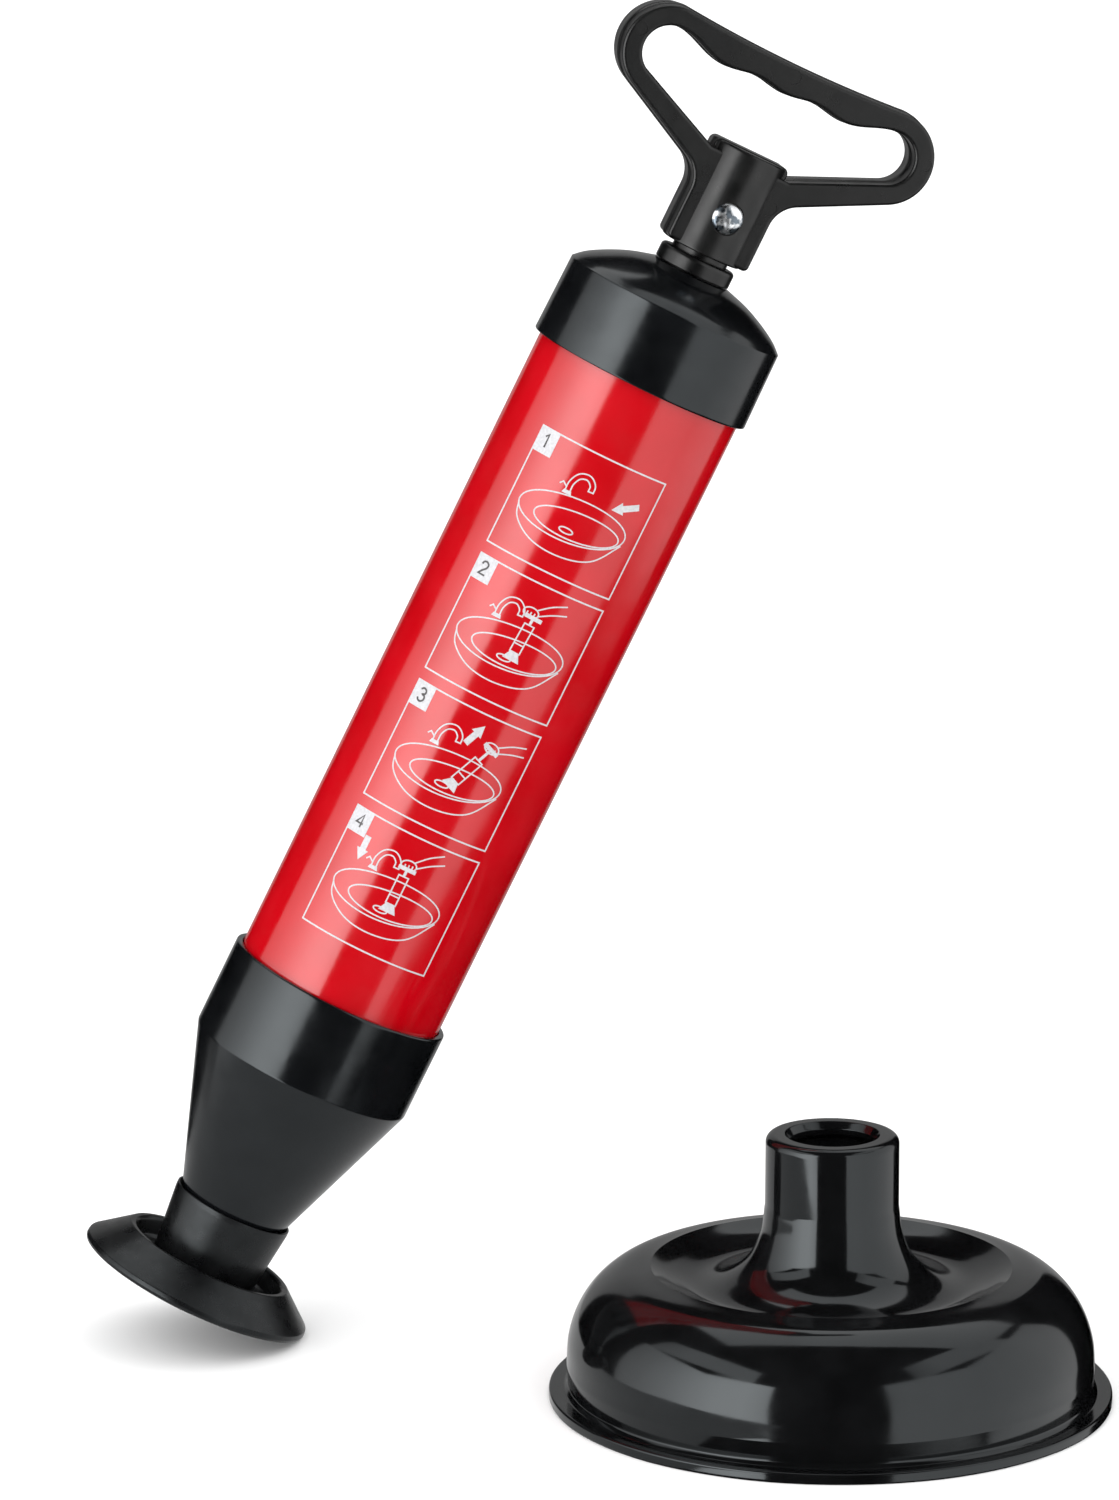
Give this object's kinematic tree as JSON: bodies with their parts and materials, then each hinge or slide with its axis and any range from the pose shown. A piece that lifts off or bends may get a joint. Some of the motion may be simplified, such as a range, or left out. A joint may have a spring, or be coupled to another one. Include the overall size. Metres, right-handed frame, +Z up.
{
  "type": "toilet plunger",
  "caption": "Hand-pump drain plunger: leaning barrel with a sliding piston rod, loop handle and small suction cup, beside its loose bell cup.",
  "frame": {"origin": "centre of the whole set's footprint box, on the floor that both cups touch", "axes": "+Z up from the floor, +X towards the side that the pump leans to, and the front of the pump faces -Y"},
  "size_m": [0.297, 0.1882, 0.3913],
  "materials": {
    "red_plastic": "glossy printed tube",
    "black_gloss_plastic": "glossy moulding",
    "black_satin_plastic": "satin moulding",
    "black_rubber": "satin rubber",
    "gloss_rubber": "polished soft PVC",
    "white_plastic": "natural nylon",
    "zinc_steel": "bright zinc plate"
  },
  "bodies": {
    "barrel": {"barrel_tube": "red_plastic", "nose_cone": "black_gloss_plastic", "top_cap": "black_gloss_plastic", "nose_gasket": "black_rubber", "cap_gasket": "black_rubber", "rod_guide_bush": "black_satin_plastic", "rod_o_ring": "black_rubber", "guide_lock_nut": "black_satin_plastic"},
    "piston": {"piston_head": "white_plastic", "piston_seal": "black_rubber", "piston_back_plate": "white_plastic", "stop_buffer": "black_rubber"},
    "rod": {"piston_rod": "black_satin_plastic", "rod_end_spindle": "zinc_steel", "piston_washer": "zinc_steel", "piston_screw": "zinc_steel", "handle": "black_satin_plastic", "handle_rivet": "zinc_steel", "rivet_washer": "zinc_steel"},
    "small_cup": {"small_cup": "black_rubber"},
    "bell_cup": {"bell_cup": "gloss_rubber"}
  },
  "joints": [
    {"name": "piston_slide", "type": "slide", "parent": "barrel", "child": "piston", "axis": [0.4378, 0.0523, 0.8976], "range_m": [0, 0.213]},
    {"name": "handle_turn", "type": "hinge", "parent": "piston", "child": "rod", "pos_m": [0.01424, 0.06016, 0.28445], "axis": [0.4378, 0.0523, 0.8976], "continuous": true},
    {"name": "small_cup_pull_off", "type": "slide", "parent": "barrel", "child": "small_cup", "axis": [-0.4378, -0.0523, -0.8976], "range_m": [0, 0.03]},
    {"name": "bell_cup_move", "type": "slide", "parent": "barrel", "child": "bell_cup", "axis": [1, 0, 0], "range_m": [0, 0.12]}
  ]
}
